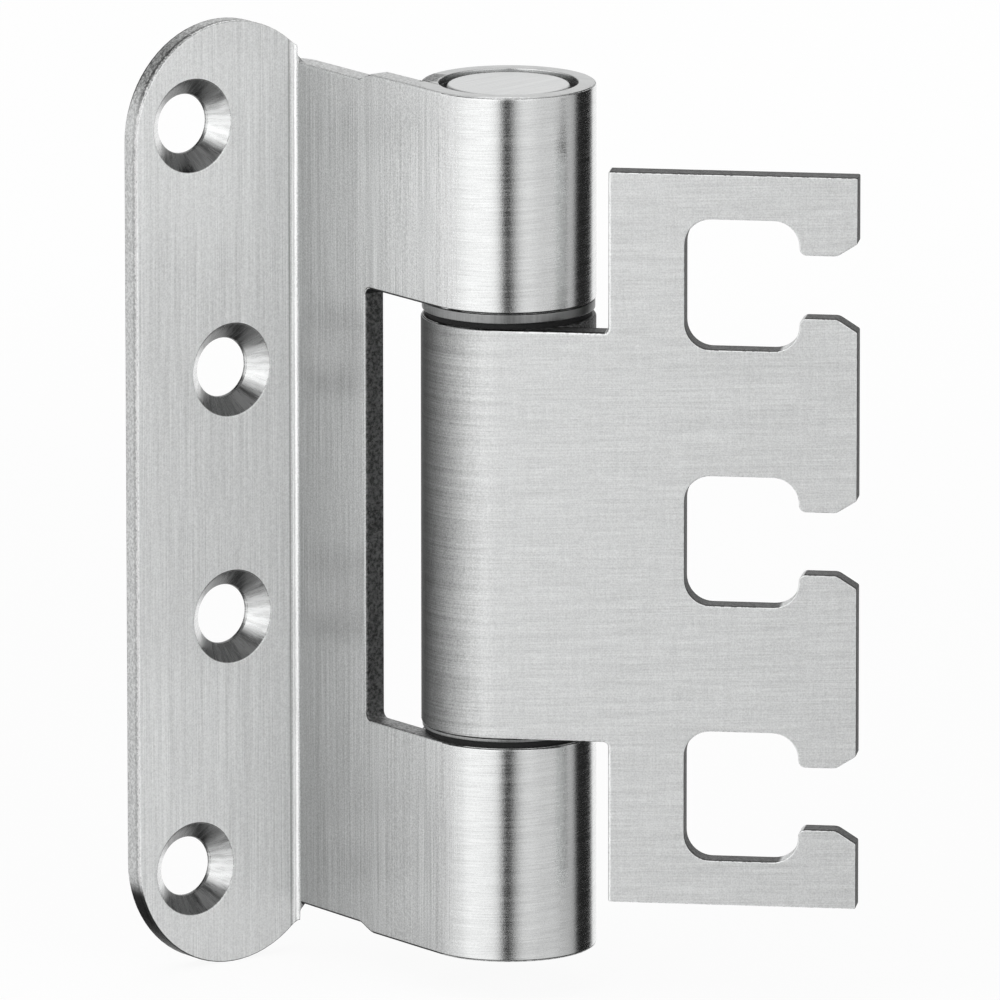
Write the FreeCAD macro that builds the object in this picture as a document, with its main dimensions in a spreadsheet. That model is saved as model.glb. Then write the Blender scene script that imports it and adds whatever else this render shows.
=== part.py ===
"""Lift-off hinge for a rebated door: two leaves rolled from steel sheet round one removable pin.

The wing leaf is one sheet: a drilled flange, a neck folded at right angles to it, and two knuckles
rolled at the ends of the barrel. The frame leaf is one thicker sheet: the middle knuckle and a flat
plate with three hook notches. Sleeves, collars and thrust rings separate the knuckles.

Lengths are in millimetres and angles in degrees. Every piece is drawn about the barrel axis, with
the plate along +X and its front face towards -Y. Its Placement then moves the barrel axis so that
the origin lies on the plate's front face, in the middle of the strip beside the notches and level
with the middle of the barrel.
"""
import FreeCAD, Part
import math
import os
import Sketcher
from FreeCAD import Rotation, Vector

doc = FreeCAD.newDocument("lift_off_hinge")

# Driving dimensions

SIZES = {
    # pin, sleeves and barrel
    "pin_radius": 8.4,
    "pin_setback": 0.25,
    "pin_bevel": 0.3,
    "running_clearance": 0.05,
    "sleeve_wall": 1.05,
    "sleeve_setback": 1.2,
    "barrel_length": 120.0,
    "seam_gap": 0.2,
    "rim_break": 0.25,
    # wing leaf
    "wing_sheet": 3.1,
    "web_length": 16.6,
    "neck_bend": 1.1,
    "neck_bend_radius": 25.0,
    "neck_length": 16.4,
    "fold_radius": 0.8,
    "flange_width": 26.3,
    "flange_overrun": 5.8,
    "flange_end_radius": 15.5,
    "window_height": 60.2,
    "window_corner": 1.0,
    "neck_relief": 1.0,
    "relief_run": 2.5,
    "relief_round": 2.0,
    "relief_lead": 1.0,
    "fold_nick": 1.0,
    "wing_angle": 43.5,
    # screw holes in the flange
    "screw_hole": 8.2,
    "countersink": 13.0,
    "countersink_angle": 90.0,
    "outer_hole_inset": 9.25,
    "inner_hole_inset": 15.6,
    "outer_hole_drop": 13.85,
    "inner_hole_spacing": 34.55,
    # frame leaf
    "frame_sheet": 3.5,
    "plate_clearance": 3.2,
    "plate_strip": 10.4,
    "plate_rim": 6.15,
    "plate_inner_corner": 0.7,
    # hook notches
    "notch_depth": 15.65,
    "notch_height": 18.0,
    "notch_pitch": 35.45,
    "notch_corner": 3.6,
    "mouth_height": 8.7,
    "lip_length": 7.85,
    "lip_corner": 0.95,
    "lip_bevel_run": 2.75,
    "lip_bevel_rise": 1.75,
    "lip_nose": 1.6,
    # collars and thrust rings
    "upper_collar_height": 1.3,
    "upper_ring_height": 0.7,
    "lower_collar_height": 0.5,
    "lower_ring_height": 0.7,
    "collar_setback": 0.15,
    "ring_setback": 0.6,
    "axial_play": 0.1,
}

# Values that follow from the driving dimensions

WORKED_OUT = {
    "bore_radius": "sizes.pin_radius + sizes.running_clearance",
    "sleeve_radius": "sizes.pin_radius + sizes.running_clearance + sizes.sleeve_wall",
    "barrel_radius": "sizes.pin_radius + sizes.running_clearance + sizes.frame_sheet",
    "half_barrel": "sizes.barrel_length / 2",
    "half_window": "sizes.window_height / 2",
    "upper_collar_foot": "worked_out.half_window - sizes.upper_collar_height",
    "upper_ring_top": "worked_out.upper_collar_foot - sizes.axial_play",
    "knuckle_top": "worked_out.upper_ring_top - sizes.upper_ring_height",
    "lower_ring_top": "sizes.lower_ring_height - worked_out.half_window",
    "lower_collar_foot": "worked_out.lower_ring_top + sizes.axial_play",
    "knuckle_foot": "worked_out.lower_collar_foot + sizes.lower_collar_height",
    "knuckle_middle": "(worked_out.knuckle_top + worked_out.knuckle_foot) / 2",
    "knuckle_length": "worked_out.knuckle_top - worked_out.knuckle_foot",
    "web_foot_x": "-worked_out.barrel_radius * cos(sizes.neck_bend)",
    "web_foot_y": "-worked_out.barrel_radius * sin(sizes.neck_bend)",
    "bend_x": "worked_out.web_foot_x - sizes.web_length * sin(sizes.neck_bend)",
    "bend_y": "worked_out.web_foot_y + sizes.web_length * cos(sizes.neck_bend)",
    "flange_y": "worked_out.bend_y + sizes.neck_length",
    "flange_edge_x": "worked_out.bend_x - sizes.flange_width",
    "flange_length": "sizes.barrel_length + 2 * sizes.flange_overrun",
    "outer_hole_height": "worked_out.flange_length / 2 - sizes.outer_hole_drop",
    "inner_hole_height": "sizes.inner_hole_spacing / 2",
    "plate_start": "worked_out.barrel_radius + sizes.plate_clearance",
    "notch_wall": "worked_out.plate_start + sizes.plate_strip",
    "lip_start": "worked_out.notch_wall + sizes.notch_depth",
    "plate_end": "worked_out.lip_start + sizes.lip_length",
    "plate_height": "2 * (sizes.notch_pitch + sizes.notch_height / 2 + sizes.plate_rim)",
    "seat_x": "(worked_out.plate_start + worked_out.notch_wall) / 2",
    "plate_back_y": "sizes.frame_sheet - worked_out.barrel_radius",
}

MARGIN = 5.0            # how far a cutting outline runs past the sheet
ROUNDING = 0.001        # two lengths closer than this are the same
NOTCH_COUNT = 3


def fill_sheet(name, cells):
    sheet = doc.addObject("Spreadsheet::Sheet", name)
    for row, (alias, text) in enumerate(cells, start=1):
        sheet.set(f"A{row}", alias)
        sheet.set(f"B{row}", text)
        sheet.setAlias(f"B{row}", alias)
    doc.recompute()
    return sheet


sizes = fill_sheet("sizes", [(alias, str(value)) for alias, value in SIZES.items()])
worked_out = fill_sheet("worked_out", [(alias, "=" + text) for alias, text in WORKED_OUT.items()])


def value_of(expression):
    """The number that an expression on the two sheets gives."""
    return float(worked_out.evalExpression(expression))


# Ways of drawing that several pieces share

def new_body(label):
    body = doc.addObject("PartDesign::Body", label)
    body.Label = label
    return body


def origin_feature(body, role):
    return next(item for item in body.Origin.OriginFeatures if item.Role == role)


def new_sketch(body, name, plane, lift=None):
    """A sketch on one of the body's own origin planes, lifted along that plane's normal."""
    sketch = body.newObject("Sketcher::SketchObject", name)
    sketch.AttachmentSupport = (origin_feature(body, plane), [""])
    sketch.MapMode = "FlatFace"
    if lift:
        sketch.setExpression(".AttachmentOffset.Base.z", lift)
    return sketch


def pin_point(sketch, geometry, end, point):
    """Ties one point of a sketch to two expressions on the sheets."""
    for kind, expression in zip(("DistanceX", "DistanceY"), point):
        size = value_of(expression)
        index = sketch.addConstraint(Sketcher.Constraint(kind, -1, 1, geometry, end, size))
        sketch.setExpression(f"Constraints[{index}]", expression)


def draw_outline(sketch, corners):
    """A closed outline of straight lines.

    Each corner is a pair of expressions, or three where the third is the radius that rounds it.
    """
    points = [Vector(value_of(corner[0]), value_of(corner[1]), 0) for corner in corners]
    count = len(points)
    arrive, leave, rounds = [], [], []
    for index, corner in enumerate(corners):
        point = points[index]
        back = (points[index - 1] - point).normalize()
        ahead = (points[(index + 1) % count] - point).normalize()
        if len(corner) == 2:
            arrive.append(point)
            leave.append(point)
            rounds.append(None)
            continue
        radius = value_of(corner[2])
        half_turn = back.getAngle(ahead) / 2
        reach = radius / math.tan(half_turn)
        arrive.append(point + back * reach)
        leave.append(point + ahead * reach)
        centre = point + (back + ahead).normalize() * (radius / math.sin(half_turn))
        turns_left = back.cross(ahead).z < 0
        first, last = (arrive[-1], leave[-1]) if turns_left else (leave[-1], arrive[-1])
        start = math.atan2(first.y - centre.y, first.x - centre.x)
        end = math.atan2(last.y - centre.y, last.x - centre.x)
        circle = Part.Circle(centre, Vector(0, 0, 1), radius)
        rounds.append((Part.ArcOfCircle(circle, start, end), 1 if turns_left else 2))
    lines = [sketch.addGeometry(Part.LineSegment(leave[index], arrive[(index + 1) % count]))
             for index in range(count)]
    for index, corner in enumerate(corners):
        before, after = lines[index - 1], lines[index]
        if rounds[index] is None:
            sketch.addConstraint(Sketcher.Constraint("Coincident", before, 2, after, 1))
            pin_point(sketch, after, 1, corner)
            continue
        arc, entry = rounds[index]
        bend = sketch.addGeometry(arc)
        mark = sketch.addGeometry(Part.Point(points[index]), True)
        pin_point(sketch, mark, 1, corner)
        sketch.addConstraint(Sketcher.Constraint("PointOnObject", mark, 1, before))
        sketch.addConstraint(Sketcher.Constraint("PointOnObject", mark, 1, after))
        sketch.addConstraint(Sketcher.Constraint("Tangent", before, 2, bend, entry))
        sketch.addConstraint(Sketcher.Constraint("Tangent", after, 1, bend, 3 - entry))
        size = sketch.addConstraint(Sketcher.Constraint("Radius", bend, value_of(corner[2])))
        sketch.setExpression(f"Constraints[{size}]", corner[2])


def draw_circle(sketch, centre, radius):
    """A circle with its centre and radius tied to expressions."""
    middle = Vector(value_of(centre[0]), value_of(centre[1]), 0)
    index = sketch.addGeometry(Part.Circle(middle, Vector(0, 0, 1), value_of(radius)))
    pin_point(sketch, index, 3, centre)
    constraint = sketch.addConstraint(Sketcher.Constraint("Radius", index, value_of(radius)))
    sketch.setExpression(f"Constraints[{constraint}]", radius)


def pad(body, sketch, name, length):
    feature = body.newObject("PartDesign::Pad", name)
    feature.Profile = sketch
    feature.SideType = "Symmetric"
    feature.setExpression("Length", length)
    doc.recompute()
    return feature


def pocket(body, sketch, name):
    """Cuts the sketch's outline right through the body, both ways from the sketch."""
    before = body.Shape.Volume
    feature = body.newObject("PartDesign::Pocket", name)
    feature.Profile = sketch
    feature.SideType = "Symmetric"
    feature.Type = "ThroughAll"
    doc.recompute()
    check_cut(body, name, before)
    return feature


def check_cut(body, name, before):
    if not body.Shape.Volume < before:
        raise RuntimeError(name + " cuts nothing")


def break_rims(body, name, base, levels):
    """Takes the sharp edge off the barrel's outer rims at the given heights."""
    radius = value_of("worked_out.barrel_radius")
    heights = [value_of(level) for level in levels]
    rims = []
    for number, edge in enumerate(base.Shape.Edges, start=1):
        if not isinstance(edge.Curve, Part.Circle) or abs(edge.Curve.Radius - radius) > ROUNDING:
            continue
        if any(abs(edge.Curve.Center.z - height) < ROUNDING for height in heights):
            rims.append(f"Edge{number}")
    feature = body.newObject("PartDesign::Chamfer", name)
    feature.Base = (base, rims)
    feature.setExpression("Size", "sizes.rim_break")
    doc.recompute()
    check_cut(body, name, base.Shape.Volume)
    return feature


def mirror_down(body, name, features):
    """Repeats cuts made above the middle plane below it."""
    feature = body.newObject("PartDesign::Mirrored", name)
    feature.Originals = features
    feature.MirrorPlane = (origin_feature(body, "XY_Plane"), [""])
    body.Tip = feature
    doc.recompute()
    return feature


def turned_piece(label, corners):
    """A piece turned about the barrel axis; the corners are radius and height."""
    body = new_body(label)
    sketch = new_sketch(body, label + "_section", "XZ_Plane")
    draw_outline(sketch, corners)
    turn = body.newObject("PartDesign::Revolution", label + "_turned")
    turn.Profile = sketch
    turn.ReferenceAxis = (sketch, ["V_Axis"])
    turn.Angle = 360
    doc.recompute()
    return body


def ring(label, inner, outer, foot, top):
    """A plain ring between two radii and two heights."""
    return turned_piece(label, [(inner, foot), (outer, foot), (outer, top), (inner, top)])


def seat_on_barrel_axis(body):
    """Moves the barrel axis to its place beside and behind the origin."""
    body.setExpression(".Placement.Base.x", "-worked_out.seat_x")
    body.setExpression(".Placement.Base.y", "worked_out.barrel_radius")


# Wing leaf: the flange runs along -X, the neck stands square to it and meets the knuckles

def make_wing_leaf():
    body = new_body("wing_leaf")
    bend_x, bend_y = "worked_out.bend_x", "worked_out.bend_y"
    foot_x, foot_y = "worked_out.web_foot_x", "worked_out.web_foot_y"
    edge_x, flange_y = "worked_out.flange_edge_x", "worked_out.flange_y"
    sheet, turn = "sizes.wing_sheet", "sizes.neck_bend"

    plan = new_sketch(body, "wing_plan", "XY_Plane")
    draw_outline(plan, [
        (edge_x, flange_y),
        (bend_x, flange_y, "sizes.fold_radius"),
        (bend_x, bend_y, f"sizes.neck_bend_radius + {sheet}"),
        (foot_x, foot_y),
        (f"{foot_x} + {sheet} * cos({turn})", f"{foot_y} + {sheet} * sin({turn})"),
        (f"{bend_x} + {sheet}", f"{bend_y} + {sheet} * tan({turn} / 2)", "sizes.neck_bend_radius"),
        (f"{bend_x} + {sheet}", f"{flange_y} + {sheet}", f"sizes.fold_radius + {sheet}"),
        (edge_x, f"{flange_y} + {sheet}"),
    ])
    pad(body, plan, "wing_sheet_pad", "worked_out.flange_length")

    barrel = new_sketch(body, "barrel_outline", "XY_Plane")
    draw_circle(barrel, ("0", "0"), "worked_out.barrel_radius")
    pad(body, barrel, "barrel", "sizes.barrel_length")

    bore = new_sketch(body, "sleeve_bore_outline", "XY_Plane")
    draw_circle(bore, ("0", "0"), "worked_out.sleeve_radius")
    pocket(body, bore, "sleeve_bore")

    # The rolled end stops just short of the web's back face
    far = "worked_out.barrel_radius"
    near = f"({far} - {sheet})"
    short = f"({far} - {sheet} - sizes.seam_gap)"
    seam = new_sketch(body, "wing_seam_outline", "XY_Plane")
    draw_outline(seam, [
        (f"-{near} * cos({turn})", f"-{near} * sin({turn})"),
        (f"-{short} * cos({turn})", f"-{short} * sin({turn})"),
        (f"-{short} * cos({turn}) - {far} * sin({turn})",
         f"-{short} * sin({turn}) + {far} * cos({turn})"),
        (f"-{near} * cos({turn}) - {far} * sin({turn})",
         f"-{near} * sin({turn}) + {far} * cos({turn})"),
    ])
    pocket(body, seam, "wing_seam")

    # The window between the two knuckles takes the middle knuckle
    past = f"-worked_out.barrel_radius - {MARGIN}"
    top = "worked_out.half_window"
    window = new_sketch(body, "window_outline", "YZ_Plane")
    draw_outline(window, [
        (past, f"-{top}"),
        (bend_y, f"-{top}", "sizes.window_corner"),
        (bend_y, top, "sizes.window_corner"),
        (past, top),
    ])
    pocket(body, window, "window")

    # Above the barrel the web stops level with it, and the neck is cut a little lower
    over = f"worked_out.flange_length / 2 + {MARGIN}"
    low = "worked_out.half_barrel - sizes.neck_relief"
    corner_y = f"{flange_y} - sizes.fold_radius"
    relief = new_sketch(body, "neck_relief_outline", "YZ_Plane")
    draw_outline(relief, [
        (past, "worked_out.half_barrel"),
        (f"{bend_y} - sizes.relief_lead", "worked_out.half_barrel", "sizes.relief_round"),
        (f"{bend_y} - sizes.relief_lead + sizes.relief_run", low, "sizes.relief_round"),
        (corner_y, low),
        (corner_y, over),
        (past, over),
    ])
    relief_cut = pocket(body, relief, "neck_relief_cut")

    # The flange ends in an arc and is nicked at the fold, down to the neck
    end_outline = new_sketch(body, "flange_end_outline", "XZ_Plane", f"-({corner_y})")
    draw_flange_end(end_outline, low, over)
    end_cut = body.newObject("PartDesign::Pocket", "flange_end_cut")
    end_cut.Profile = end_outline
    end_cut.Type = "ThroughAll"
    doc.recompute()
    mirror_down(body, "lower_end_cuts", [relief_cut, end_cut])

    drill_flange(body)
    return body


def draw_flange_end(sketch, low, over):
    """What is cut away above the flange's arc and above the neck at the fold."""
    left, fold = "worked_out.flange_edge_x", "worked_out.bend_x"
    outside, beyond = f"{left} - {MARGIN}", f"{fold} + sizes.wing_sheet + {MARGIN}"
    nick = "sizes.fold_nick"
    radius = "sizes.flange_end_radius"
    centre = (f"{left} + {radius}", f"worked_out.flange_length / 2 - {radius}")
    corners = [
        (outside, centre[1]),
        (outside, over),
        (beyond, over),
        (beyond, low),
        (f"{fold} + {nick}", low),
        (fold, f"{low} + {nick}"),
    ]
    points = [Vector(value_of(x), value_of(z), 0) for x, z in corners]
    middle = Vector(value_of(centre[0]), value_of(centre[1]), 0)
    size = value_of(radius)
    start = math.acos((value_of(fold) - middle.x) / size)
    circle = Part.Circle(middle, Vector(0, 0, 1), size)
    arc = sketch.addGeometry(Part.ArcOfCircle(circle, start, math.pi))
    pin_point(sketch, arc, 3, centre)
    constraint = sketch.addConstraint(Sketcher.Constraint("Radius", arc, size))
    sketch.setExpression(f"Constraints[{constraint}]", radius)
    constraint = sketch.addConstraint(
        Sketcher.Constraint("DistanceX", -1, 1, arc, 1, value_of(fold)))
    sketch.setExpression(f"Constraints[{constraint}]", fold)
    arc_top = middle + Vector(size * math.cos(start), size * math.sin(start), 0)
    arc_left = middle - Vector(size, 0, 0)
    ring_of_points = [arc_left] + points + [arc_top]
    lines = [sketch.addGeometry(Part.LineSegment(ring_of_points[index], ring_of_points[index + 1]))
             for index in range(len(ring_of_points) - 1)]
    for line, corner in zip(lines[1:], corners):
        pin_point(sketch, line, 1, corner)
    for line, following in zip(lines, lines[1:]):
        sketch.addConstraint(Sketcher.Constraint("Coincident", line, 2, following, 1))
    sketch.addConstraint(Sketcher.Constraint("Coincident", arc, 2, lines[0], 1))
    sketch.addConstraint(Sketcher.Constraint("Horizontal", lines[0]))
    sketch.addConstraint(Sketcher.Constraint("Coincident", arc, 1, lines[-1], 2))


def drill_flange(body):
    """Four countersunk screw holes: one pair near the flange's edge and one nearer the fold."""
    edge_x = "worked_out.flange_edge_x"
    places = new_sketch(body, "screw_places", "XZ_Plane", "-worked_out.flange_y")
    for pair in ("outer", "inner"):
        across = f"{edge_x} + sizes.{pair}_hole_inset"
        up = f"worked_out.{pair}_hole_height"
        draw_circle(places, (across, up), "sizes.screw_hole / 2")
        draw_circle(places, (across, f"-{up}"), "sizes.screw_hole / 2")
    before = body.Shape.Volume
    holes = body.newObject("PartDesign::Hole", "screw_holes")
    holes.Profile = places
    doc.recompute()
    holes.DepthType = "ThroughAll"
    holes.HoleCutType = "Countersink"
    holes.setExpression("Diameter", "sizes.screw_hole")
    holes.setExpression("HoleCutDiameter", "sizes.countersink")
    holes.setExpression("HoleCutCountersinkAngle", "sizes.countersink_angle")
    doc.recompute()
    check_cut(body, "screw_holes", before)
    break_rims(body, "wing_rims", holes, ["worked_out.half_barrel", "-worked_out.half_barrel",
                                          "worked_out.half_window", "-worked_out.half_window"])


# Frame leaf: the middle knuckle and the flat plate with its hook notches

def make_frame_leaf():
    body = new_body("frame_leaf")
    radius, back_y = "worked_out.barrel_radius", "worked_out.plate_back_y"
    start, end = "worked_out.plate_start", "worked_out.plate_end"
    past = f"{radius} + {MARGIN}"

    plan = new_sketch(body, "plate_plan", "XY_Plane")
    draw_outline(plan, [
        ("0", f"-{radius}"),
        (end, f"-{radius}"),
        (end, back_y),
        ("0", back_y),
    ])
    pad(body, plan, "plate", "worked_out.plate_height")

    knuckle = new_sketch(body, "knuckle_outline", "XY_Plane")
    draw_circle(knuckle, ("0", "0"), radius)
    pad(body, knuckle, "middle_knuckle", "worked_out.knuckle_length")

    bore = new_sketch(body, "pin_bore_outline", "XY_Plane")
    draw_circle(bore, ("0", "0"), "worked_out.bore_radius")
    pocket(body, bore, "pin_bore")

    # The rolled end stops just short of the plate's back face
    seam = new_sketch(body, "frame_seam_outline", "XY_Plane")
    draw_outline(seam, [
        ("0", back_y),
        (past, back_y),
        (past, f"{back_y} + sizes.seam_gap"),
        ("0", f"{back_y} + sizes.seam_gap"),
    ])
    pocket(body, seam, "frame_seam")

    # Beside the outer knuckles the plate stands clear of the barrel
    over = f"worked_out.plate_height / 2 + {MARGIN}"
    rim = "worked_out.knuckle_length / 2"
    corners = new_sketch(body, "plate_shoulder_outline", "XZ_Plane")
    for level, edge in ((rim, over), (f"-{rim}", f"-({over})")):
        draw_outline(corners, [
            (f"-{past}", level),
            (start, level, "sizes.plate_inner_corner"),
            (start, edge),
            (f"-{past}", edge),
        ])
    pocket(body, corners, "plate_shoulders")

    # A hook notch opens towards the plate's free edge through a narrower mouth
    middle = "-sizes.notch_pitch"
    notch = new_sketch(body, "notch_outline", "XZ_Plane")
    half_notch, half_mouth = "sizes.notch_height / 2", "sizes.mouth_height / 2"
    half_flare = f"({half_mouth} + sizes.lip_bevel_rise)"
    flat_end = f"{end} - sizes.lip_bevel_run"
    draw_outline(notch, [
        ("worked_out.notch_wall", f"{middle} - {half_notch}", "sizes.notch_corner"),
        ("worked_out.lip_start", f"{middle} - {half_notch}", "sizes.notch_corner"),
        ("worked_out.lip_start", f"{middle} - {half_mouth}", "sizes.lip_corner"),
        (flat_end, f"{middle} - {half_mouth}", "sizes.lip_nose"),
        (end, f"{middle} - {half_flare}"),
        (f"{end} + {MARGIN}", f"{middle} - {half_flare}"),
        (f"{end} + {MARGIN}", f"{middle} + {half_flare}"),
        (end, f"{middle} + {half_flare}"),
        (flat_end, f"{middle} + {half_mouth}", "sizes.lip_nose"),
        ("worked_out.lip_start", f"{middle} + {half_mouth}", "sizes.lip_corner"),
        ("worked_out.lip_start", f"{middle} + {half_notch}", "sizes.notch_corner"),
        ("worked_out.notch_wall", f"{middle} + {half_notch}", "sizes.notch_corner"),
    ])
    lowest = pocket(body, notch, "lowest_notch")
    before = body.Shape.Volume
    row = body.newObject("PartDesign::LinearPattern", "notch_row")
    row.Originals = [lowest]
    row.Direction = (origin_feature(body, "Z_Axis"), [""])
    row.Occurrences = NOTCH_COUNT
    row.setExpression("Length", f"sizes.notch_pitch * {NOTCH_COUNT - 1}")
    body.Tip = row
    doc.recompute()
    check_cut(body, "notch_row", before)
    break_rims(body, "frame_rims", row, [rim, f"-{rim}"])
    return body


# Pin, sleeves, collars and thrust rings, all turned

def make_turned_pieces():
    bore, sleeve = "worked_out.bore_radius", "worked_out.sleeve_radius"
    pin, bevel = "sizes.pin_radius", "sizes.pin_bevel"
    pin_end = "(worked_out.half_barrel - sizes.pin_setback)"
    sleeve_end = "(worked_out.half_barrel - sizes.sleeve_setback)"
    window = "worked_out.half_window"
    collar = "worked_out.barrel_radius - sizes.collar_setback"
    thrust = "worked_out.barrel_radius - sizes.ring_setback"
    return [
        turned_piece("hinge_pin", [
            ("0", f"-{pin_end}"),
            (f"{pin} - {bevel}", f"-{pin_end}"),
            (pin, f"-{pin_end} + {bevel}"),
            (pin, f"{pin_end} - {bevel}"),
            (f"{pin} - {bevel}", pin_end),
            ("0", pin_end),
        ]),
        ring("upper_sleeve", bore, sleeve, window, sleeve_end),
        ring("lower_sleeve", bore, sleeve, f"-{sleeve_end}", f"-{window}"),
        ring("upper_collar", bore, collar, "worked_out.upper_collar_foot", window),
        ring("upper_thrust_ring", bore, thrust, "worked_out.knuckle_top",
             "worked_out.upper_ring_top"),
        ring("lower_collar", bore, collar, "worked_out.lower_collar_foot",
             "worked_out.knuckle_foot"),
        ring("lower_thrust_ring", bore, thrust, f"-{window}", "worked_out.lower_ring_top"),
    ]


wing_leaf = make_wing_leaf()
frame_leaf = make_frame_leaf()
pieces = [wing_leaf, frame_leaf] + make_turned_pieces()
for piece in pieces:
    seat_on_barrel_axis(piece)

# The frame leaf fills the window between the collars, and the wing leaf stands partly open
frame_leaf.setExpression(".Placement.Base.z", "worked_out.knuckle_middle")
wing_leaf.Placement.Rotation = Rotation(Vector(0, 0, 1), SIZES["wing_angle"])
wing_leaf.setExpression(".Placement.Rotation.Angle", "sizes.wing_angle")
doc.recompute()

# Nothing is written unless every object is sound

for item in doc.Objects:
    if "Invalid" in item.State or "Error" in item.State:
        raise RuntimeError(item.Name + " did not compute")
for piece in pieces:
    if piece.Shape.isNull() or not piece.Shape.isValid() or len(piece.Shape.Solids) != 1:
        raise RuntimeError(piece.Label + " is not one sound solid")

os.makedirs("parts", exist_ok=True)
for piece in pieces:
    piece.Shape.exportStep(f"parts/{piece.Label}.step")
    box = piece.Shape.BoundBox
    print(f"{piece.Label}: {piece.Shape.Volume:.0f} mm3, "
          f"x {box.XMin:.2f} to {box.XMax:.2f}, y {box.YMin:.2f} to {box.YMax:.2f}, "
          f"z {box.ZMin:.2f} to {box.ZMax:.2f}")
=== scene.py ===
"""A lift-off door hinge in satin-brushed stainless steel, standing on a white studio floor."""
import math

import bpy
import numpy as np
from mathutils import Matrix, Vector


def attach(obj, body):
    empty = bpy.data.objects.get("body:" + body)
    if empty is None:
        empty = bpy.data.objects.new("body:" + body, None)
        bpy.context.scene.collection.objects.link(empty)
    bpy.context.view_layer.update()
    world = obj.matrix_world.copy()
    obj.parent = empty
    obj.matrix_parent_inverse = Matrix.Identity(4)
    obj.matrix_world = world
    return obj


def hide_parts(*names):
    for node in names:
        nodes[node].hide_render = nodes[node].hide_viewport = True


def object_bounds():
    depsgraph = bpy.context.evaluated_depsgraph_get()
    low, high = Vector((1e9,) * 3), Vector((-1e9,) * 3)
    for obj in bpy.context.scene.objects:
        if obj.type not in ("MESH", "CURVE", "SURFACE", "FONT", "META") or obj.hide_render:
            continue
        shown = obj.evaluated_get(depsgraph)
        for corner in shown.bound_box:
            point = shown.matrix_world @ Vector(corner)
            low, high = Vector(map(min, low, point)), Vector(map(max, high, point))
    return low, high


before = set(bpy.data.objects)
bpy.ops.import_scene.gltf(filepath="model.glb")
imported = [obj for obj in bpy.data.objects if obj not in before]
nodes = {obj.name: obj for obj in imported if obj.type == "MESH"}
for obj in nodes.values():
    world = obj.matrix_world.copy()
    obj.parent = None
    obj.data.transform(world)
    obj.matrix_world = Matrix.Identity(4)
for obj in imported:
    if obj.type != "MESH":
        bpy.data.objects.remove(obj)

cad_box = [list(corner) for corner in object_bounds()]
scene = bpy.context.scene
scene.view_settings.view_transform = "Standard"

# Camera
# A long lens far off, high and a little to the right of the hinge, which keeps upright edges almost
# upright, as in the photograph.

camera_data = bpy.data.cameras.new("camera")
camera_data.sensor_width = 36.0
camera_data.lens = 702.7
camera_data.clip_start = 0.1
camera_data.clip_end = 50.0
camera = bpy.data.objects.new("camera", camera_data)
camera.location = (0.32152, -2.56254, 0.56835)
camera.rotation_euler = (math.radians(77.6965), math.radians(0.0404), math.radians(7.5814))
scene.collection.objects.link(camera)
scene.camera = camera

# Studio
# A white room with a pale floor. A round tent of lit cloth stands about the hinge, brightest in front
# on the left, with a dark slit for the lens and a dark card behind on either side, because bright
# metal shows only what stands around it.


class Wire:
    """An output socket of a shader tree; arithmetic on it adds the Math nodes."""

    def __init__(self, socket):
        self.socket = socket
        self.tree = socket.id_data

    @staticmethod
    def node(tree, kind, settings, sockets, output=0):
        """Adds a node, with its settings first and then its sockets' values or links."""
        made = tree.nodes.new(kind)
        for name, value in settings.items():
            if name == "stops":
                ramp = made.color_ramp
                while len(ramp.elements) < len(value):
                    ramp.elements.new(0.5)
                for element, (place, colour) in zip(ramp.elements, value):
                    element.position = place
                    element.color = colour
            else:
                setattr(made, name, value)
        for name, value in sockets.items():
            if isinstance(value, Wire):
                tree.links.new(value.socket, made.inputs[name])
            else:
                made.inputs[name].default_value = value
        return Wire(made.outputs[output])

    def math(self, operation, *others):
        sockets = {0: self}
        sockets.update({index + 1: other for index, other in enumerate(others)})
        return Wire.node(self.tree, "ShaderNodeMath", {"operation": operation}, sockets)

    def __add__(self, other):
        return self.math("ADD", other)

    __radd__ = __add__

    def __mul__(self, other):
        return self.math("MULTIPLY", other)

    __rmul__ = __mul__

    def __sub__(self, other):
        return self.math("SUBTRACT", other)

    def __rsub__(self, other):
        return (self * -1.0) + other

    def __truediv__(self, other):
        return self.math("DIVIDE", other)

    def rises(self, low, high):
        """0 below low and 1 above high, with a smooth step between; falls where low is above high."""
        return Wire.node(self.tree, "ShaderNodeMapRange", {"interpolation_type": "SMOOTHSTEP"},
                         {"Value": self, "From Min": low, "From Max": high})

    def mixed(self, low, high):
        """low where this is 0, high where it is 1."""
        return low + (high - low) * self


def parts_of(vector):
    """The X, Y and Z of a vector, as wires."""
    split = vector.tree.nodes.new("ShaderNodeSeparateXYZ")
    vector.tree.links.new(vector.socket, split.inputs[0])
    return [Wire(socket) for socket in split.outputs]


def grey(level):
    return (level, level, level, 1.0)


white_room = bpy.data.worlds.new("white_room")
white_room.use_nodes = True
room = white_room.node_tree
room.nodes.clear()
room_light = Wire.node(room, "ShaderNodeBackground", {}, {"Color": grey(1.0), "Strength": 1.0})
room.links.new(room_light.socket, room.nodes.new("ShaderNodeOutputWorld").inputs["Surface"])
scene.world = white_room


def new_material(name):
    """An empty node material and its tree."""
    material = bpy.data.materials.new(name)
    material.use_nodes = True
    material.node_tree.nodes.clear()
    return material, material.node_tree


def set_surface(tree, surface):
    tree.links.new(surface.socket, tree.nodes.new("ShaderNodeOutputMaterial").inputs["Surface"])


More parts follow.
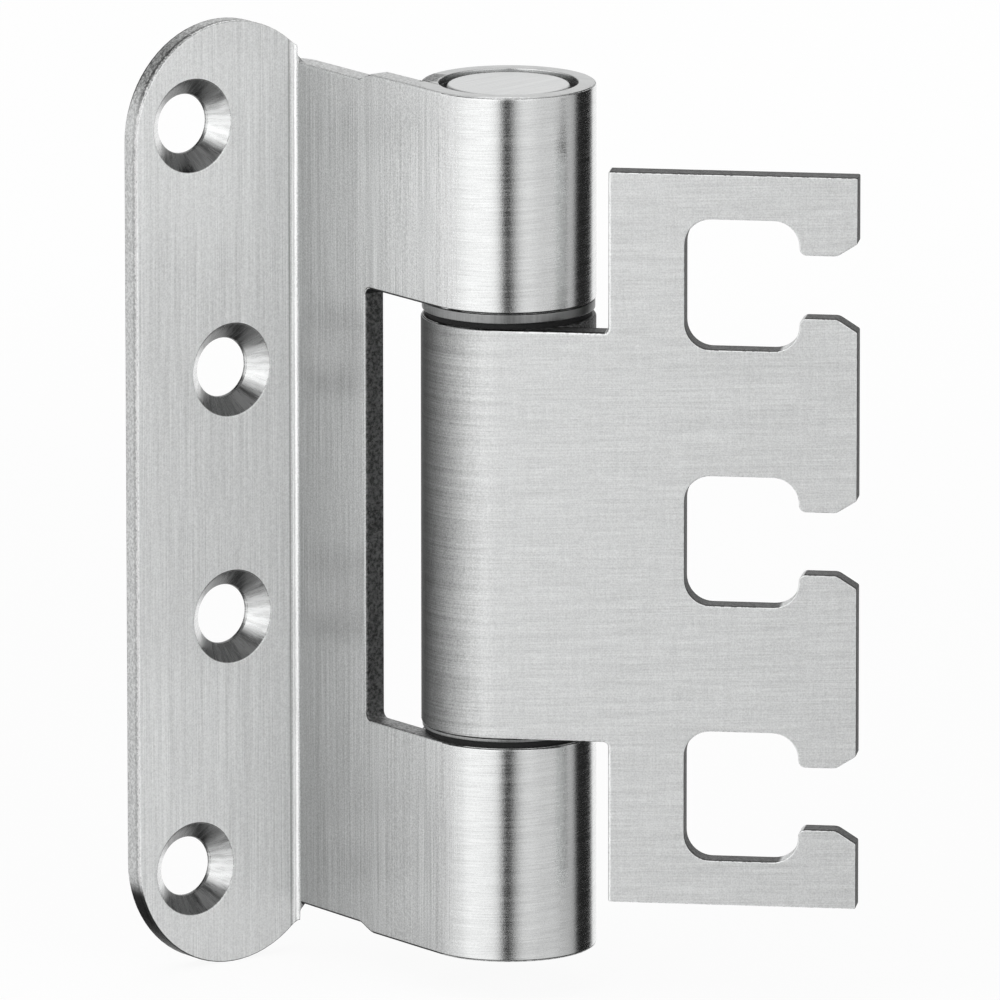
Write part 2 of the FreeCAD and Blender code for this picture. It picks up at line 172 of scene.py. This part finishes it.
def grid_mesh(name, points):
    """A mesh of quads through a grid of points."""
    rows, columns = points.shape[:2]
    index = np.arange(rows * columns).reshape(rows, columns)
    faces = np.stack([index[:-1, :-1], index[:-1, 1:], index[1:, 1:], index[1:, :-1]], axis=-1)
    mesh = bpy.data.meshes.new(name)
    mesh.from_pydata(points.reshape(-1, 3).tolist(), [], faces.reshape(-1, 4).tolist())
    made = bpy.data.objects.new(name, mesh)
    scene.collection.objects.link(made)
    return made


# The floor is white to the eye and keeps a soft shadow under the hinge
floor_level = cad_box[0][2]
floor_ends = np.array([-3.0, 3.0])
white_share = 0.92
floor = grid_mesh("floor", np.stack(
    np.broadcast_arrays(floor_ends[None, :], floor_ends[:, None], floor_level), axis=-1))
floor_white, tree = new_material("floor_white")
path = tree.nodes.new("ShaderNodeLightPath")
seen = Wire(path.outputs["Is Camera Ray"]) + Wire(path.outputs["Is Glossy Ray"]) \
    + Wire(path.outputs["Is Transmission Ray"])
chalk = Wire.node(tree, "ShaderNodeBsdfDiffuse", {}, {"Color": grey(0.9)})
glow = Wire.node(tree, "ShaderNodeEmission", {}, {"Color": grey(1.0), "Strength": 1.0})
set_surface(tree, Wire.node(tree, "ShaderNodeMixShader", {}, {0: seen * white_share, 1: chalk, 2: glow}))
floor.data.materials.append(floor_white)
floor.visible_glossy = False

# The tent stands about the barrel's axis. Its brightness is given by compass bearing in degrees, 0 in
# front and + to the right, at the height that the upright surfaces mirror to the camera. It grows
# with height, most in front.
barrel_x, barrel_y = -0.02035, 0.01195
tent_radius, tent_low, tent_high = 0.45, -0.9, 0.9
mirrored_height = -0.123
brightest = 1.25
tent_bearings = [
    (-147, 0.80), (-140, 0.05), (-122, 0.05), (-107, 0.55), (-95, 0.70), (-80, 0.88), (-58, 1.00),
    (-48, 1.14), (-24, 1.10), (-12, 1.04), (-4, 0.75), (2, 0.02), (9, 0.03), (18, 0.56), (27, 0.80),
    (35, 0.81), (51, 0.71), (69, 0.70), (88, 0.58), (103, 0.46), (106, 0.02), (142, 0.02), (147, 0.30),
    (149, 0.80),
]
turn = np.radians(np.linspace(-150.0, 150.0, 121))
height = np.linspace(tent_low, tent_high, 3)
tent = grid_mesh("tent", np.stack(np.broadcast_arrays(
    tent_radius * np.sin(turn)[None, :] + barrel_x,
    -tent_radius * np.cos(turn)[None, :] + barrel_y,
    height[:, None]), axis=-1))
tent_cloth, tree = new_material("tent_cloth")
tent_cloth.cycles.emission_sampling = "NONE"  # rays meet the cloth anyway, all round
place = Wire.node(tree, "ShaderNodeTexCoord", {}, {}, "Object")
across, along, up = parts_of(place)
bearing = (across - barrel_x).math("ARCTAN2", (along - barrel_y) * -1.0)
stops = [((degrees + 180.0) / 360.0, grey(light / brightest)) for degrees, light in tent_bearings]
cloth_light = Wire.node(tree, "ShaderNodeValToRGB", {"stops": stops},
                        {"Fac": bearing / (2.0 * math.pi) + 0.5})
ahead = bearing.rises(math.radians(-45.0), math.radians(-12.0)) \
    * bearing.rises(math.radians(55.0), math.radians(20.0))
growth = (up - mirrored_height) * ahead.mixed(0.45, 1.3) + 1.0
growth = growth.math("MAXIMUM", 0.35).math("MINIMUM", 1.5)
set_surface(tree, Wire.node(tree, "ShaderNodeEmission", {},
                            {"Color": cloth_light * growth * brightest, "Strength": 1.0}))
tent.data.materials.append(tent_cloth)
tent.visible_camera = False
tent.visible_shadow = False

# A soft lamp in front of the flange lights its grain and is not mirrored
lamp_distance = 0.8
lamp_data = bpy.data.lights.new("flange_lamp", "AREA")
lamp_data.energy = 2.0
lamp_data.size = 0.5
lamp = bpy.data.objects.new("flange_lamp", lamp_data)
scene.collection.objects.link(lamp)
lamp_way = Vector((0.64, -0.77, 0.12))
lamp.location = Vector((barrel_x, barrel_y, 0.0)) + lamp_way * lamp_distance
lamp.rotation_euler = lamp_way.to_track_quat("Z", "Y").to_euler()
lamp.visible_glossy = False

# Wing leaf
# One 3.1 mm stainless sheet, blanked, folded and rolled, then brushed: along the flange and neck, and
# round the knuckles. The blanked edges keep the dull, torn grey of the press.

wing_turn = math.radians(43.5)
edge_width = 0.00018
barrel_radius = 11.95


def softened(name, body, material):
    """A copy of a part with its sharp edges broken, as a belt leaves them, in the part's place.
    The shortest edges are merged first, because a wide break would cross over them."""
    mesh = nodes[name].data.copy()
    mesh.attributes.remove(mesh.attributes["custom_normal"])
    mesh.polygons.foreach_set("use_smooth", [True] * len(mesh.polygons))
    mesh.edges.foreach_set("use_edge_sharp", [False] * len(mesh.edges))
    mesh.materials.clear()
    mesh.materials.append(material)
    made = bpy.data.objects.new("soft_" + name, mesh)
    scene.collection.objects.link(made)
    joined = made.modifiers.new("joined", "WELD")
    joined.merge_threshold = 0.0001
    flat = made.modifiers.new("flat", "DECIMATE")
    flat.decimate_type = "DISSOLVE"
    flat.angle_limit = math.radians(1.0)
    broken = made.modifiers.new("broken_edges", "BEVEL")
    broken.width = edge_width
    broken.segments = 2
    broken.limit_method = "ANGLE"
    broken.angle_limit = math.radians(30.0)
    broken.use_clamp_overlap = False
    closed = made.modifiers.new("closed", "WELD")
    closed.merge_threshold = 0.000002
    even = made.modifiers.new("even_shading", "WEIGHTED_NORMAL")
    even.keep_sharp = False
    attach(made, body)
    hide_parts(name)
    return made


def own_directions(tree, turned):
    """A leaf's own coordinates in millimetres about the barrel axis, and the way its surface faces."""
    turned_back = {"rotation_type": "Z_AXIS"}
    place = Wire.node(tree, "ShaderNodeTexCoord", {}, {}, "Object")
    centred = Wire.node(tree, "ShaderNodeVectorMath", {"operation": "SUBTRACT"},
                        {0: place, 1: (barrel_x, barrel_y, 0.0)})
    own = Wire.node(tree, "ShaderNodeVectorRotate", turned_back,
                    {"Vector": centred, "Angle": -turned})
    own = Wire.node(tree, "ShaderNodeVectorMath", {"operation": "SCALE"}, {0: own, "Scale": 1000.0})
    normal = Wire.node(tree, "ShaderNodeTexCoord", {}, {}, "Normal")
    facing = Wire.node(tree, "ShaderNodeVectorRotate", turned_back,
                       {"Vector": normal, "Angle": -turned})
    return own, facing


def noise(tree, vector, detail=2.0, roughness=0.5):
    return Wire.node(tree, "ShaderNodeTexNoise", {},
                     {"Vector": vector, "Scale": 1.0, "Detail": detail, "Roughness": roughness})


def spread(tree, across, along, third=0.0):
    return Wire.node(tree, "ShaderNodeCombineXYZ", {}, {0: across, 1: along, 2: third})


def fine_grain(tree, own, size):
    """Even grain from 0 to 1, whose specks are about 1 / size mm wide."""
    scaled = Wire.node(tree, "ShaderNodeVectorMath", {"operation": "SCALE"}, {0: own, "Scale": size})
    return noise(tree, scaled, 3.0, 0.7).rises(0.3, 0.7)


def brush_lines(tree, across, along, fineness, length):
    """Lines from 0 to 1 that run along one coordinate and crowd along the other."""
    fine = noise(tree, spread(tree, across * fineness, along * length), 3.0, 0.7)
    broad = noise(tree, spread(tree, across * (fineness * 0.2), along * (length * 0.3), 7.0), 2.0)
    return (fine * 0.75 + broad * 0.25).rises(0.3, 0.7)


def metal(tree, level, roughness, relief, strength, stretch=0.0, quarter=0.0, bare=1.0):
    """Steel, as light as level. Stretch draws reflections out sideways, or up and down with quarter
    at 0.25. What bare leaves of 1 scatters light evenly, as a blasted grain does."""
    bump = Wire.node(tree, "ShaderNodeBump", {}, {"Height": relief, "Strength": strength,
                                                  "Distance": 0.00002})
    tint = Wire.node(tree, "ShaderNodeCombineColor", {},
                     {0: level * 0.99, 1: level, 2: level * 0.997})
    return Wire.node(tree, "ShaderNodeBsdfPrincipled", {},
                     {"Base Color": tint, "Metallic": bare, "Roughness": roughness,
                      "Anisotropic": stretch, "Anisotropic Rotation": quarter, "Normal": bump})


def torn_edge_and_painted_shade(tree, own, dark, light):
    """Dull, grainy steel, from one shade to the other: the torn grey of a blanked edge, and painted
    shade where it is laid near black on faces that face down and on the knuckle behind the plate.
    """
    grain = fine_grain(tree, own, 2.6)
    return metal(tree, grain.mixed(dark, light), 0.5, grain, 1.0)


def blend(tree, share, low, high):
    return Wire.node(tree, "ShaderNodeMixShader", {}, {0: share, 1: low, 2: high})


wing_steel, tree = new_material("wing_steel")
own, facing = own_directions(tree, wing_turn)
x, y, z = parts_of(own)
facing_x, facing_y, facing_z = parts_of(facing)
radius = (x * x + y * y).math("SQRT")
angle = x.math("ARCTAN2", y)
specks = fine_grain(tree, own, 4.5)

# Long upright lines on the flange, the neck and the start of the roll. The neck is painted darker
# than the flange, a painted shade that deepens towards the fold and towards the bottom; a painted
# highlight runs along the fold, with painted shade in the crease beside it on the flange
flange_face, fold_line = 32.77, -13.0
upright = brush_lines(tree, x + y * 1.7, z, 5.5, 0.05)
upright_grain = upright * 0.55 + specks * 0.45
flange_side = y.rises(flange_face - 0.77, flange_face - 0.02)
neck_painted_shade = (0.79 - y.math("MAXIMUM", 0.0) * 0.0068) * (z * 0.0018 + 1.0)
from_fold = x - fold_line
fold_painted_highlight = from_fold.rises(-0.1, 0.1) * y.rises(31.9, 32.1)
crease_painted_shade = from_fold.rises(-0.5, -0.35) * from_fold.rises(-0.05, -0.2) * flange_side
tone_and_painted_light = flange_side.mixed(neck_painted_shade, 0.86).math("MAXIMUM", fold_painted_highlight) * crease_painted_shade.mixed(1.0, 0.6)
contrast = flange_side.mixed(0.85, 0.50)
long_brushed = metal(tree, tone_and_painted_light * ((upright_grain - 0.5) * contrast + 0.95),
                     upright_grain.mixed(0.28, 0.46) * fold_painted_highlight.mixed(1.0, 0.5), upright_grain, 0.6,
                     stretch=0.85, bare=flange_side.mixed(1.0, 0.5))

# Lines round the knuckles, a little slanting, with a slow ripple that makes the reflections ragged
slant = z + angle * 0.5
around = brush_lines(tree, slant, angle * 11.5, 5.0, 0.12)
ripple = noise(tree, spread(tree, slant * 3.5, angle * 9.0, 3.0), 2.0, 0.6)
around_grain = around * 0.65 + specks * 0.35
round_brushed = metal(tree, around_grain.mixed(0.62, 0.94), around_grain.mixed(0.16, 0.32),
                      around_grain * 0.6 + ripple * 0.8, 0.55, stretch=0.85, quarter=0.25)
roll_start = (y * 0.891 - x * 0.454).rises(5.2, -0.6).math("MAXIMUM", x.rises(-9.6, -9.3))
rolled = radius.rises(barrel_radius + 0.25, barrel_radius + 0.05) * roll_start
surface = blend(tree, rolled, long_brushed, round_brushed)

# The countersinks are turned, with fine marks that run towards the hole; where they face up or
# down they are painted darker, a painted shade
inner_hole, outer_hole = (-22.967, 17.275), (-29.317, 51.95)
countersink_radius = 6.5
from_middle = z.math("ABSOLUTE")
outer_pair = from_middle.rises(34.5, 34.7)
from_hole_x = x - outer_pair.mixed(inner_hole[0], outer_hole[0])
from_hole_z = from_middle - outer_pair.mixed(inner_hole[1], outer_hole[1])
round_hole = from_hole_x.math("ARCTAN2", from_hole_z)
hole_distance = (from_hole_x * from_hole_x + from_hole_z * from_hole_z).math("SQRT")
marks = noise(tree, spread(tree, round_hole * 9.0, hole_distance * 0.35, z * 0.02), 3.0, 0.6)
marks = marks.rises(0.3, 0.7)
cone_painted_shade = facing_z.math("ABSOLUTE").rises(0.22, 0.55).mixed(1.0, 0.18)
turned_cone = metal(tree, marks.mixed(0.62, 0.98) * cone_painted_shade, marks.mixed(0.20, 0.34), marks, 0.5)
cone = (hole_distance.rises(countersink_radius + 0.12, countersink_radius + 0.05)
        * y.rises(flange_face + 0.03, flange_face + 0.13) * facing_y.rises(0.6, 0.3))
surface = blend(tree, cone, surface, turned_cone)

# The ends of the sheet and the window's edges are torn and dark; where they face down they carry
# painted shade, near black. The neck's upper end is lighter
half_barrel, window_edge = 60.0, 16.6
up_or_down = facing_z.math("ABSOLUTE").rises(0.5, 0.7)
off_barrel = radius.rises(barrel_radius + 0.15, barrel_radius + 0.45)
window_end = facing_y.rises(-0.6, -0.8) * y.rises(window_edge + 0.9, window_edge + 0.4) * off_barrel
cut = up_or_down.math("MAXIMUM", window_end) * (1.0 - cone)
surface = blend(tree, cut, surface, torn_edge_and_painted_shade(tree, own, 0.10, 0.40))
facing_down_painted_shade = facing_z.rises(-0.12, -0.3) * (1.0 - cone)
surface = blend(tree, facing_down_painted_shade, surface, torn_edge_and_painted_shade(tree, own, 0.02, 0.10))
neck_top = facing_z.rises(0.5, 0.7) * z.rises(half_barrel - 3.0, half_barrel - 2.0) * x.rises(-8.0, -9.0)
surface = blend(tree, neck_top, surface, torn_edge_and_painted_shade(tree, own, 0.42, 0.75))

# The flange's rim is lighter, with a torn line and a burr beside its front face, whose brightness
# is a painted highlight, and painted shade as a near-black line at its back and where it faces down
depth = y - flange_face
wander = noise(tree, Wire.node(tree, "ShaderNodeVectorMath", {"operation": "SCALE"},
                               {0: own, "Scale": 2.4}), 3.0, 0.75) - 0.5
torn_depth = depth + wander * 1.6
torn_line = torn_depth.rises(0.55, 0.75) * torn_depth.rises(1.25, 1.0)
burr_painted_highlight = torn_depth.rises(0.10, 0.22) * torn_depth.rises(0.55, 0.45)
rim_grain = fine_grain(tree, own, 2.6)
rounded = facing_x.math("ABSOLUTE").rises(0.99, 0.85)
painted_dark_outline = (depth.rises(2.7, 2.85) * rounded).math("MAXIMUM", facing_z.rises(-0.12, -0.3))
torn_share = torn_line * rounded.mixed(0.3, 0.85)
rim_level = (rim_grain.mixed(rounded.mixed(0.62, 0.25), 1.0) * torn_share.mixed(1.0, 0.2)
             * rounded.mixed(1.0, 0.75) + burr_painted_highlight * 0.4) * painted_dark_outline.mixed(1.0, 0.05)
rim_metal = metal(tree, rim_level, 0.42, rim_grain, 0.9)
rim = (depth.rises(-0.05, 0.05) * from_fold.rises(0.2, -0.1) * facing_y.rises(-0.6, -0.4)
       * facing_y.rises(0.98, 0.93) * (1.0 - cone))
surface = blend(tree, rim, surface, rim_metal)

# The knuckles' end faces are ground flat, but for a burr in front, painted lighter as a painted
# highlight, and the torn end of the curl
ground = brush_lines(tree, x + y, x - y, 2.5, 0.3)
front_burr_painted_highlight = (x * -0.6225 + y * -0.7826).rises(10.7, 11.3) * rim_grain
ground_metal = metal(tree, ground.mixed(0.50, 0.66) + front_burr_painted_highlight * 0.4, 0.42, ground, 0.5)
on_barrel = radius.rises(barrel_radius + 0.15, barrel_radius + 0.05)
knuckle_end = up_or_down * on_barrel * from_middle.rises(half_barrel - 0.5, half_barrel - 0.3)
surface = blend(tree, knuckle_end, surface, ground_metal)
curl_end = knuckle_end * angle.rises(-0.98, -0.92) * angle.rises(-0.40, -0.46) * radius.rises(9.5, 9.8)
surface = blend(tree, curl_end, surface, torn_edge_and_painted_shade(tree, own, 0.03, 0.45))
set_surface(tree, surface)
softened("wing_leaf", "wing", wing_steel)

# Frame leaf
# One 3.5 mm stainless sheet, rolled into the middle knuckle and left flat as the hook plate, with a
# finer, duller brushing across it. The knuckle's side seen through the wing leaf's window is painted
# darker towards the left, a painted shade, where the grain stands out more.

frame_steel, tree = new_material("frame_steel")
own, facing = own_directions(tree, 0.0)
x, y, z = parts_of(own)
facing_x, facing_y, facing_z = parts_of(facing)
level_lines = brush_lines(tree, z - x * 0.04, x + y, 5.0, 0.10)
upright_lines = brush_lines(tree, x + y, z, 5.0, 0.15)
specks = fine_grain(tree, own, 4.5)
lines = level_lines * 0.4 + upright_lines * 0.15 + specks * 0.45
# Painted shade: darker towards the knuckle's left side, but not at its back
painted_shade_factor = ((x + 12.6) * 0.079).math("MAXIMUM", 0.06).math("MINIMUM", 1.0).math(
    "MAXIMUM", y.rises(2.0, 8.0))
contrast = painted_shade_factor.mixed(1.5, 0.44)
plate_metal = metal(tree, painted_shade_factor * ((lines - 0.5) * contrast + 0.95) * 0.89,
                    lines.mixed(0.44, 0.58), lines, 0.6, 0.4, 0.25)
radius = (x * x + y * y).math("SQRT")

# Its blanked edges are torn, with painted shade as a dark line beside either face; those that face
# the barrel are lighter, a painted reflection of it
off_barrel = radius.rises(barrel_radius + 0.15, barrel_radius + 0.45)
sideways = facing_y.math("ABSOLUTE").rises(0.55, 0.35) * off_barrel
edge = facing_z.math("ABSOLUTE").rises(0.6, 0.8).math("MAXIMUM", sideways)
edge_grain = fine_grain(tree, own, 2.6)
edge_depth = y + barrel_radius + (edge_grain - 0.5) * 0.5
inner = edge_depth.rises(0.5, 0.9) * edge_depth.rises(3.1, 2.8)
edge_tone_and_painted_light = edge_grain.mixed(0.05, 0.36) * inner.mixed(0.08, 1.0) * sideways.mixed(1.0, 0.4)
barrel_side_painted_reflection = facing_x.rises(-0.2, -0.4)
edge_tone_and_painted_light = barrel_side_painted_reflection.mixed(edge_tone_and_painted_light, edge_grain.mixed(0.55, 0.95))
surface = blend(tree, edge, plate_metal, metal(tree, edge_tone_and_painted_light, 0.5, edge_grain, 1.0))

# The knuckle where it turns in behind the plate carries painted shade, a near-black grainy patch
on_barrel = radius.rises(barrel_radius + 0.15, barrel_radius + 0.05)
behind_plate_painted_shade = x.rises(3.0, 5.0) * y.rises(-9.0, -8.0) * y.rises(8.0, 3.0) * on_barrel
surface = blend(tree, behind_plate_painted_shade, surface, torn_edge_and_painted_shade(tree, own, 0.05, 0.26))

# A bright, broken burr runs along the blanked edges of the plate's front; its brightness is a
# painted highlight
dots = noise(tree, Wire.node(tree, "ShaderNodeVectorMath", {"operation": "SCALE"},
                             {0: own, "Scale": 1.8}), 2.0, 0.6).rises(0.40, 0.52)
burr_painted_highlight = facing_y.rises(-0.45, -0.55) * facing_y.rises(-0.97, -0.9) * off_barrel * dots
surface = blend(tree, burr_painted_highlight, surface, metal(tree, dots.mixed(0.8, 1.0), 0.45, dots, 0.3))
set_surface(tree, surface)
softened("frame_leaf", "frame", frame_steel)

# Pin and collars
# Turned from steel bar; the pin's ends are faced and left with a fine slanting brushing, and the
# collars, which sit in the gaps between the knuckles, are painted darker as painted shade.

for name, body in (("hinge_pin", "pin"), ("upper_collar", "wing"), ("lower_collar", "frame")):
    turned_steel, tree = new_material(name + "_steel")
    own, facing = own_directions(tree, 0.0)
    x, y, z = parts_of(own)
    lines = brush_lines(tree, x - y * 0.8, x * 0.8 + y + z, 3.0, 0.06)
    lines = lines * 0.7 + fine_grain(tree, own, 4.5) * 0.3
    # The collars' darker levels are painted shade
    shade = (0.55, 0.80) if name == "hinge_pin" else (0.22, 0.38)
    set_surface(tree, metal(tree, lines.mixed(*shade), lines.mixed(0.35, 0.42), lines, 0.4))
    softened(name, body, turned_steel)

# Sleeves and thrust rings
# Plain-bearing liners, dark and matt, that need no oil.

liner_dark, tree = new_material("liner_dark")
place = Wire.node(tree, "ShaderNodeTexCoord", {}, {}, "Object")
speckle = Wire.node(tree, "ShaderNodeTexNoise", {}, {"Vector": place, "Scale": 4000.0, "Detail": 2.0})
shade = speckle.mixed(0.008, 0.03)
set_surface(tree, Wire.node(tree, "ShaderNodeBsdfPrincipled", {}, {
    "Base Color": Wire.node(tree, "ShaderNodeCombineColor", {}, {0: shade, 1: shade, 2: shade}),
    "Roughness": 0.6, "Specular IOR Level": 0.12}))
for name in ("upper_sleeve", "lower_sleeve", "upper_thrust_ring", "lower_thrust_ring"):
    nodes[name].material_slots[0].material = liner_dark
